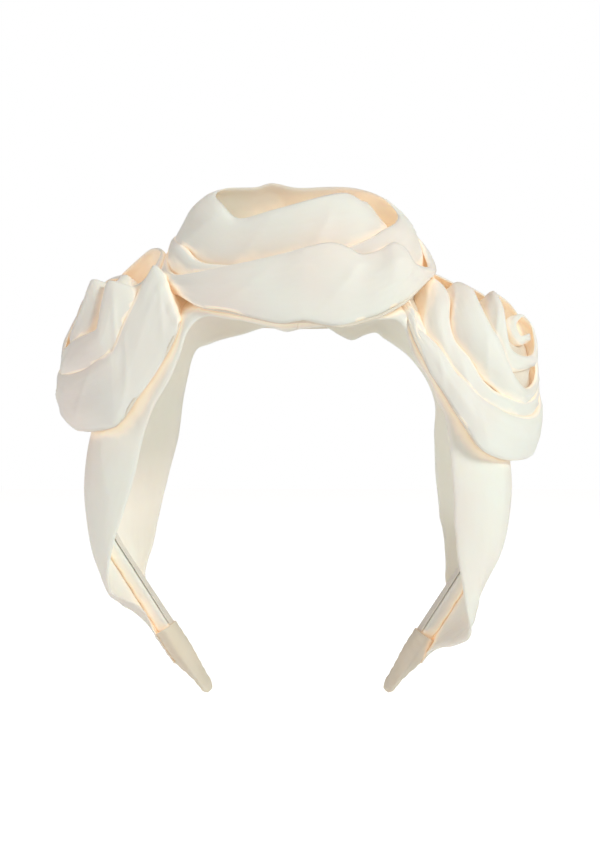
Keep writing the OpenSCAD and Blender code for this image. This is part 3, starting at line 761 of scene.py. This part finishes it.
# ---- Right knot ----
# The same coil of ivory satin, tacked on the right shoulder with its heart facing outwards and a little
# down. Its first turn is gathered under the end of the middle knot too.
right_strip = [
    (36, 5, -14, 31, -6, -21, 0.5), (37.5, 0, -19, 35, -5.5, -25, 0.8), (38.5, -5, -24, 37.8, -9.5, -28.5, 1),
    (41, -12.5, -27, 39.8, -16, -30.3, 1), (46, -17, -28.5, 43, -22.5, -31.6, 1.2),
    (50, -21.5, -29, 46, -29, -32.5, 1.5), (54, -28, -29.5, 49.8, -34.5, -33, 1.5),
    (58, -31.7, -30, 54, -41.5, -34, 2), (62, -36, -29.5, 58.5, -48, -34, 2.2),
    (67, -39.3, -27.5, 63, -54.7, -32, 2.6), (73, -42.5, -22.5, 69, -58, -26.5, 2.6),
    (79, -43.5, -13, 75.5, -58.7, -15, 2), (82.5, -42, -4, 80.3, -57, -3, 1.5), (83.5, -38, 6, 81, -52, 8, 1),
    (82.5, -32, 15, 76, -49, 19, 2), (79, -24, 22, 68.5, -42, 27.5, 2.5), (73, -15, 25, 60, -32.5, 31, 2.5),
    (66, -7, 24, 54, -19, 31, 2.5), (58, 0, 18, 47, -10, 25, 2), (51, 4, 9, 42, -3, 16, 2),
    (46.5, 6, 0, 40, 0, 5, 1), (46.2, 5, -9, 40, -3, -14, 1), (50, 2, -16, 41.5, -9, -21, 1.2),
    (52.4, -3, -20.5, 42, -15, -25, 1.5), (52.3, -10, -23.5, 45, -22, -27, 1.5),
    (54, -17, -25.3, 48.5, -29.5, -28, 1.5), (59, -23, -26, 53, -36, -29, 1.8),
    (62.5, -29.3, -25.8, 58.5, -41, -28.5, 2), (66, -33.3, -24, 63, -47, -26.5, 2),
    (71, -36.3, -20, 69, -49, -22, 1.8), (76.5, -38.3, -13.5, 75, -50, -15, 1.5), (80.5, -37.5, -5, 79, -48, -5, 1),
    (82.3, -34, 4, 80, -42, 5, 1), (82, -28, 11, 78, -35, 14, 1.5), (79, -19, 17, 72, -26, 21, 2),
    (73, -9, 18, 64, -16, 23, 2), (65, -2, 14, 56, -8, 19, 2), (58, 2, 4, 50, -4, 8, 1.2),
    (56, 2.6, -6, 50, -5, -10, 1.2), (60, 0.8, -13, 51, -9, -17, 1.5), (63, -5, -17.5, 51.5, -15, -21, 2),
    (66.5, -12, -20.5, 54, -23, -23, 2.2), (70, -18, -21.5, 60, -29.5, -23.8, 2.2),
    (72.4, -25, -20.5, 66.8, -33.5, -22.8, 2), (75, -30.3, -16.5, 72, -38.5, -17.5, 1.5),
    (79, -34, -8.5, 77.5, -41, -9, 1), (82, -31, 1, 80, -35, 2, 1), (82, -23, 8, 79, -27, 10, 1),
    (79, -14, 11, 74, -19, 14, 1.5), (73.5, -5, 10, 67, -11, 13, 1.5), (68, -0.8, 2.5, 62, -7, 4, 1),
    (68.5, -1.2, -5, 63, -9, -8, 1), (70.8, -6, -11, 62.5, -15, -14, 1.5), (72, -13, -14.5, 65, -22, -17, 1.8),
    (73.5, -20, -15, 69, -28, -17, 1.5), (78, -23, -10.5, 75, -28, -12, 1.2), (82, -22, -3, 79, -26, -3, 1),
    (81.5, -14, 4, 78, -19, 6, 1), (77.5, -8.5, 3, 73, -13, 4, 1), (75, -11, -2, 71, -15, -3, 1),
    (77, -16, -5, 73.5, -19, -6.5, 0.8), (80.5, -15.5, -1, 77, -19, -1, 0.5)]
right_knot = coiled_strip("right_knot_strip", right_strip, 4.4, winding=-1, gather=0.2)
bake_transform(right_knot)
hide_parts("right_knot_outer_coil", "right_knot_inner_coil", "right_knot_bud")

# ---- Knot backings ----
# Each coil is sewn by its foot to a round patch of wool felt, which closes the knot from below. The patch
# lies just under the foot of every turn, so it takes its shape from them.
left_at, right_at = 49, 59
patch_t, patch_lift, patch_rows, patch_around, feet_per = 1.2, 0.5, 14, 64, 6


def felt_patch(name, stations, side, tilt):
    """A patch that reaches the farthest foot in each direction and lies as high as the feet nearest to it."""
    around = patch_around
    feet = spline([seen_from_front(*s[3:6]) for s in stations], feet_per)
    a = math.radians(tilt)
    along, out = np.array([math.cos(a), 0, -side * math.sin(a)]), np.array([side * math.sin(a), 0, math.cos(a)])
    last_feet = feet[-len(feet) // 4:]
    centre = (last_feet.max(0) + last_feet.min(0)) / 2
    u, v, height = (feet - centre) @ along, (feet - centre)[:, 1], (feet - centre) @ out
    turned, far = np.arctan2(v, u), np.hypot(u, v)
    reach = []
    for k in range(around):
        off = np.abs((turned - 2 * math.pi * k / around + math.pi) % (2 * math.pi) - math.pi)
        reach.append(far[off < 0.14].max() if (off < 0.14).any() else 0)
    reach = np.array(reach)
    reach[reach == 0] = reach[reach > 0].mean()
    reach = sum(np.roll(reach, k) for k in (-1, 0, 1)) / 3 - 0.9

    def patch_ring(part, drop):
        ring = []
        for k in range(around):
            t, r = 2 * math.pi * k / around, part * reach[k]
            x, y = r * math.cos(t), r * math.sin(t)
            near = 1 / ((u - x) ** 2 + (v - y) ** 2 + 4) ** 2
            rise = out * ((near * height).sum() / near.sum() - drop)
            ring.append(tuple(centre + along * x + np.array([0, y, 0]) + rise))
        return ring

    parts = [math.sin((k + 0.5) / patch_rows * math.pi / 2) for k in range(patch_rows)]
    rings = [patch_ring(part, -patch_lift) for part in parts]
    rings += [patch_ring(part, patch_t - patch_lift) for part in reversed(parts)]
    return loft(name, rings, felt)


for name, stations, side, tilt in (("middle", middle_strip, 1, 0), ("left", left_strip, -1, left_at),
                                   ("right", right_strip, 1, right_at)):
    patch = felt_patch(name + "_knot_backing_patch", stations, side, tilt)
    if name == "middle":
        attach(patch, "crown")
    else:
        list(hinge_ends(side))
        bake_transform(patch)
    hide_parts(name + "_knot_backing")

# ---- Tacks ----
# Loops of waxed ivory cotton thread sew each knot down, through its backing and the cover. Six loops hold
# each knot, in two rows of three, and a node tree stands one loop on each place.
loop_w, loop_h, thread_w, tack_out, loop_steps, thread_steps = 2.4, 5.0, 0.5, 7.2, 28, 8
cotton = grained("cotton_thread", "ShaderNodeTexWave", {"Scale": 900, "Distortion": 3}, (0.74, 0.68, 0.57),
                 (0.88, 0.84, 0.75), 0.6, bump=(0.0001, 0.8), sheen=0.3)
tacking = Tree("tacks", ("Loop width", "Float"), ("Loop height", "Float"), ("Thread", "Float"),
               ("Material", "Material"))
loop = tacking.add("GeometryNodeCurvePrimitiveCircle", Resolution=loop_steps, Radius=0.5)[0]
size = tacking.add("ShaderNodeCombineXYZ", X=tacking.given["Loop width"], Y=tacking.given["Loop height"], Z=1.0)[0]
loop = tacking.add("GeometryNodeTransform", Geometry=loop, Rotation=(math.pi / 2, 0, 0), Scale=size)[0]
radius = tacking.maths("MULTIPLY", tacking.given["Thread"], 0.5)
thread_ring = tacking.add("GeometryNodeCurvePrimitiveCircle", Resolution=thread_steps, Radius=radius)[0]
loop = tacking.add("GeometryNodeCurveToMesh", Curve=loop, Profile_Curve=thread_ring)[0]
upright = tacking.add("FunctionNodeAlignRotationToVector", [("axis", "Z"), ("pivot_axis", "Y")],
                      Vector=tacking.named("away", "FLOAT_VECTOR"))[0]
tacking.finish(tacking.add("GeometryNodeInstanceOnPoints", Points=tacking.given["Geometry"], Instance=loop,
                           Rotation=upright)[0])

for name, body, side, knot_at, apart, half in (("middle", "crown", 1, 0, 12, 11),
                                               ("left", "left_arm", -1, left_at, 9, 9),
                                               ("right", "right_arm", 1, right_at, 9, 9)):
    lengths = [crown_r * math.radians(knot_at + apart * k) for k in (-1, 0, 1)]
    places = [tuple(v * MM for v in on_hoop(side, s, y, tack_out)) for s in lengths for y in (-half, half)]
    away = [away_from_head(side, s) for s in lengths for _ in (0, 1)]
    spots = points_with(name + "_tack_places", places, [], away=away)
    tacks = grown(name + "_knot_tacks", spots, tacking, "thread", Loop_width=loop_w * MM,
                  Loop_height=loop_h * MM, Thread=thread_w * MM, Material=cotton)
    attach(tacks, body)
    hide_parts(name + "_knot_stitches")

# ---- Depth of the folds ----
# The satin gets painted warm shade and a painted glow where it lies deep between its own layers. Rays cast
# over the nearest 22 mm say how deep each point of the cloth lies, and the painted shade and glow follow that.
rays, reach, off_skin, golden_turn, shallow, deep_over = 14, 0.022, 0.0005, 2.399963, 0.1, 0.6


def measure_folds(pieces):
    """Casts rays from every other point of every other ring, and fills in the points between them."""
    verts, faces = [], []
    for piece in pieces:
        first = len(verts)
        verts += [v.co.copy() for v in piece.data.vertices]
        faces += [tuple(first + i for i in f.vertices) for f in piece.data.polygons]
    tree = BVHTree.FromPolygons(verts, faces)
    spread = []
    for k in range(rays):
        r, a = math.sqrt((k + 0.5) / rays), k * golden_turn
        spread.append((r * math.cos(a), r * math.sin(a), math.sqrt(1 - r * r)))
    for piece in pieces:
        m, n = ring_counts[piece.name]
        depth = np.zeros((m, n))
        rows, columns = list(range(0, m, 2)), list(range(0, n, 2))
        for i in rows:
            for j in columns:
                v = piece.data.vertices[i * n + j]
                up = v.normal
                side_way = up.orthogonal().normalized()
                other = up.cross(side_way)
                start, total = v.co + up * off_skin, 0.0
                for x, y, z in spread:
                    hit = tree.ray_cast(start, side_way * x + other * y + up * z, reach)
                    if hit[0] is not None:
                        total += 1 - hit[3] / reach
                depth[i, j] = total / rays
        few = depth[::2, ::2]
        wide = np.array([np.interp(np.arange(n), columns, row) for row in few])
        full = np.array([np.interp(np.arange(m), rows, wide[:, j]) for j in range(n)]).T
        values = np.zeros(m * n + 2, np.float32)
        values[:m * n] = np.clip((full.ravel() - shallow) / deep_over, 0, 1)
        piece.data.attributes["fold_shade_and_glow"].data.foreach_set("value", values)


measure_folds([o for o in bpy.context.scene.objects if o.name in ring_counts])

# ---- Studio ----
# The band stands on its tips on a plain white floor, in broad soft light from the right and above.
# The camera looks straight at its front from 0.8 m away.
floor_z = min(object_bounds()[0].z, cad_box[0].z) - 0.0005
sheet_r, sheet_sides = 3, 60
white = grained("white_sheet", "ShaderNodeTexNoise", {"Scale": 700}, (0.93, 0.93, 0.93), (0.96, 0.96, 0.96), 0.9)
made, links, shader = tree_of(white)
looked_at, lit = made.new("ShaderNodeLightPath"), made.new("ShaderNodeMapRange")
dial(shader, {"Emission Color": (1, 1, 1, 1)})
dial(lit, {"To Min": 0.12, "To Max": 0.7})
join(links, (looked_at, "Is Camera Ray", lit, "Value"), (lit, "Result", shader, "Emission Strength"))

sheet_mesh = bpy.data.meshes.new("studio_sheet")
turns = [math.radians(360 // sheet_sides * i) for i in range(sheet_sides)]
rim = [(sheet_r * math.cos(a), sheet_r * math.sin(a), floor_z) for a in turns]
slices = [(0, i + 1, (i + 1) % sheet_sides + 1) for i in range(sheet_sides)]
sheet_mesh.from_pydata([(0, 0, floor_z)] + rim, [], slices)
sheet_mesh.shade_smooth()
sheet_mesh.materials.append(white)
studio_sheet = bpy.data.objects.new("studio_sheet", sheet_mesh)
bpy.context.scene.collection.objects.link(studio_sheet)


def soft_light(name, place, aim, size, power, colour):
    lamp = bpy.data.lights.new(name, "AREA")
    lamp.shape, lamp.size, lamp.energy, lamp.color = "DISK", size, power, colour
    holder = bpy.data.objects.new(name, lamp)
    bpy.context.scene.collection.objects.link(holder)
    holder.location = place
    holder.rotation_euler = (Vector(aim) - Vector(place)).to_track_quat("-Z", "Y").to_euler()


soft_light("key", (0.80, -0.70, 0.58), (0, 0, -0.04), 0.34, 7.65, (0.95, 1, 0.945))
soft_light("fill", (-1.1, -0.4, 0.05), (0, 0, -0.05), 0.8, 4.0, (1, 0.945, 0.925))
soft_light("top", (0.1, 0.2, 1.0), (0, 0, 0), 0.5, 2.0, (1, 0.99, 0.97))

world = bpy.data.worlds.new("studio_air")
bpy.context.scene.world = world
world.use_nodes = True
air = world.node_tree.nodes
seen, glow, both = air["Background"], air.new("ShaderNodeBackground"), air.new("ShaderNodeMixShader")
path = air.new("ShaderNodeLightPath")
dial(seen, {"Color": (1, 1, 1, 1), "Strength": 1.0})
dial(glow, {"Color": (1, 0.95, 0.925, 1), "Strength": 0.315})
join(world.node_tree.links, (path, "Is Camera Ray", both, 0), (glow, 0, both, 1), (seen, 0, both, 2),
     (both, 0, air["World Output"], "Surface"))
bpy.context.scene.view_settings.view_transform = "Standard"

lens = bpy.data.cameras.new("front_camera")
lens.lens, lens.sensor_width, lens.clip_start, lens.clip_end = 96.3, 36, 0.05, 20
camera = bpy.data.objects.new("front_camera", lens)
camera.location = (EYE[0] * MM, -EYE[2] * MM, EYE[1] * MM)
camera.rotation_euler = (math.radians(90), 0, 0)
bpy.context.scene.collection.objects.link(camera)
bpy.context.scene.camera = camera
